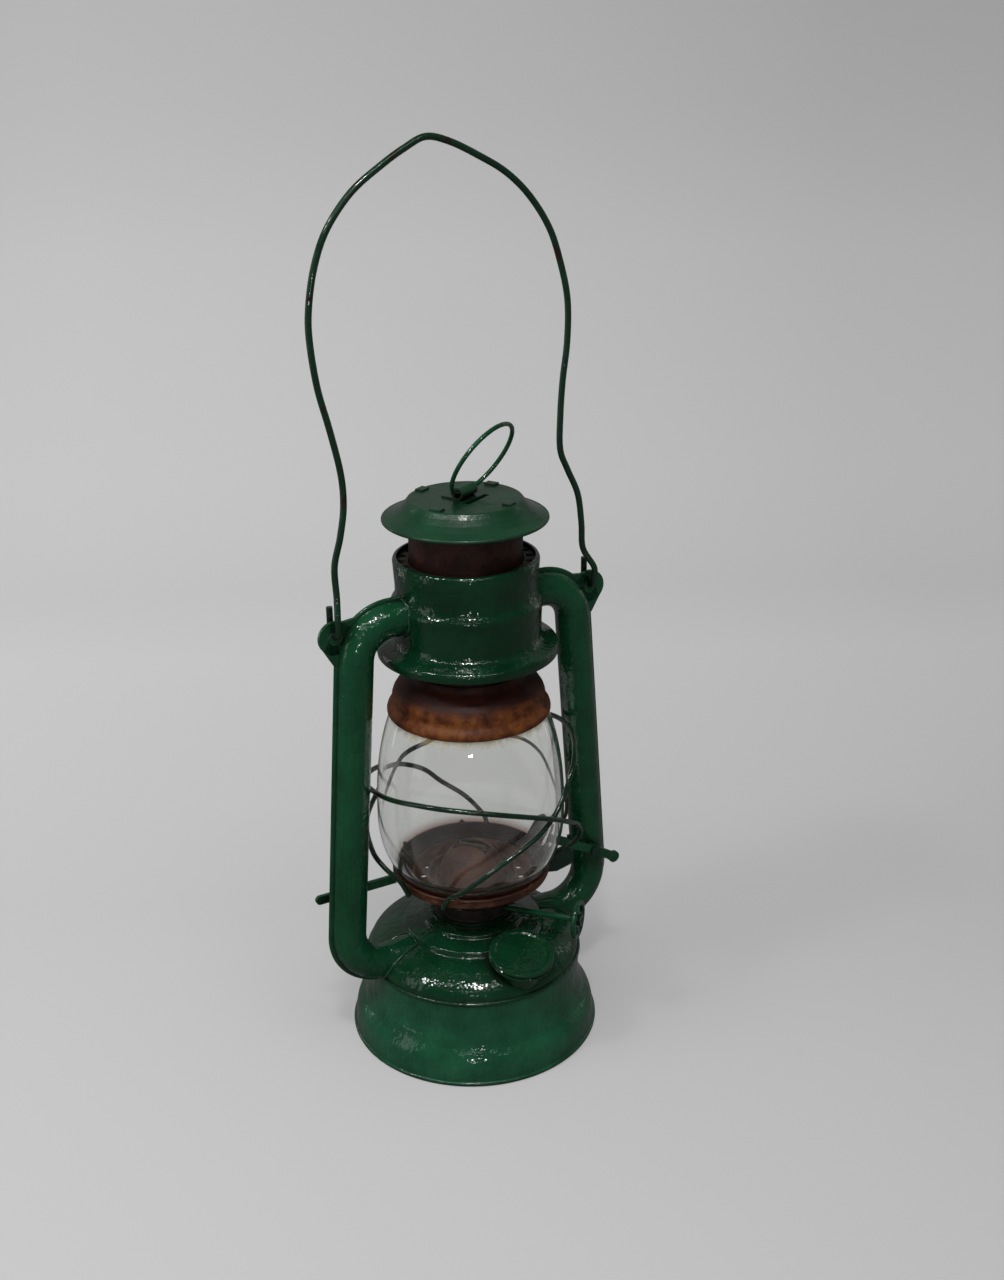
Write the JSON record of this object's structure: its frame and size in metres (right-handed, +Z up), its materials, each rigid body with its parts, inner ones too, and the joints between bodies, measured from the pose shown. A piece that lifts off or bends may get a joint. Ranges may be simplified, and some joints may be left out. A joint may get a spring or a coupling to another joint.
{
  "type": "kerosene lamp",
  "caption": "Hot-blast tubular kerosene lamp with a flared base, domed fount, glass globe in crossed wire guards, side air tubes, capped chimney and wire bail.",
  "frame": {"origin": "centre of the base, on the surface that it stands on", "axes": "+Z up along the lamp's axis; the side tubes lie along X, with the lift lever at +X; the filler faces -Y"},
  "size_m": [0.1396, 0.1094, 0.381],
  "materials": {
    "green_enamel": "brushed gloss enamel, uneven and lumpy",
    "rusty_sheet": "heat-browned and rusted sheet",
    "sooty_sheet": "sooted dark brown sheet",
    "bare_steel": "worn steel",
    "burner_brass": "tarnished brass",
    "clear_glass": "clear glass with a smoked top",
    "wick": "woven flat cotton",
    "gasket": "pressed cork and rubber"
  },
  "bodies": {
    "lamp": {"base_skirt": "green_enamel", "fount_dome": "green_enamel", "fount_floor": "green_enamel", "filler_neck": "bare_steel", "burner_collar": "green_enamel", "burner_body": "burner_brass", "burner_dome": "burner_brass", "wick_tube": "burner_brass", "left_tube": "green_enamel", "right_tube": "green_enamel", "hood_body": "green_enamel", "hood_top_ring": "green_enamel", "lever_stud": "bare_steel"},
    "globe_carrier": {"globe_plate": "rusty_sheet", "globe": "clear_glass", "globe_tongue": "green_enamel", "guard_wire_a": "green_enamel", "guard_wire_b": "green_enamel", "keeper_wire": "sooty_sheet", "lift_bracket": "sooty_sheet", "left_guide": "green_enamel"},
    "lever": {"lift_lever": "green_enamel"},
    "chimney": {"chimney": "sooty_sheet", "globe_bell": "rusty_sheet", "chimney_cap": "green_enamel", "cap_tabs": "green_enamel", "ring_loop": "green_enamel"},
    "lift_ring": {"lift_ring": "green_enamel"},
    "cap_seal": {"cap_gasket": "gasket"},
    "fuel_cap": {"fuel_cap": "green_enamel"},
    "wick_wheel": {"wick_shaft": "green_enamel", "wick_knob": "green_enamel"},
    "wick": {"wick": "wick"},
    "bail": {"bail": "green_enamel"}
  },
  "joints": [
    {"name": "globe_lift", "type": "slide", "parent": "lamp", "child": "globe_carrier", "axis": [0, 0, 1], "range_m": [0, 0.008]},
    {"name": "lever_tilt", "type": "hinge", "parent": "lamp", "child": "lever", "pos_m": [0.057, -0.0101, 0.07216], "axis": [0, 1, 0], "range_deg": [0, 19.3]},
    {"name": "chimney_lift", "type": "slide", "parent": "globe_carrier", "child": "chimney", "axis": [0, 0, 1], "range_m": [0, 0.01]},
    {"name": "ring_swing", "type": "hinge", "parent": "chimney", "child": "lift_ring", "pos_m": [0, 0, 0.24588], "axis": [0.8829, 0.4695, 0], "range_deg": [-110, 52]},
    {"name": "cap_rise", "type": "slide", "parent": "lamp", "child": "cap_seal", "axis": [0.0173, -0.2481, 0.9686], "range_m": [0, 0.006]},
    {"name": "cap_turn", "type": "hinge", "parent": "cap_seal", "child": "fuel_cap", "pos_m": [0.00261, -0.03731, 0.04627], "axis": [0.0173, -0.2481, 0.9686], "range_deg": [0, 1080]},
    {"name": "wick_turn", "type": "hinge", "parent": "lamp", "child": "wick_wheel", "pos_m": [-0.00263, -0.00246, 0.05936], "axis": [0.682, -0.7314, 0], "range_deg": [-140, 235]},
    {"name": "wick_feed", "type": "slide", "parent": "lamp", "child": "wick", "axis": [0, 0, 1], "range_m": [-0.006, 0.01]},
    {"name": "bail_swing", "type": "hinge", "parent": "lamp", "child": "bail", "pos_m": [0, 0, 0.19976], "axis": [1, 0, 0], "range_deg": [-110, 110]}
  ],
  "couplings": [
    {"joint": "lever_tilt", "follows": "globe_lift", "rad_per_m": 41.462},
    {"joint": "cap_rise", "follows": "cap_turn", "m_per_rad": 0.00031831},
    {"joint": "wick_feed", "follows": "wick_turn", "m_per_rad": 0.0024}
  ]
}
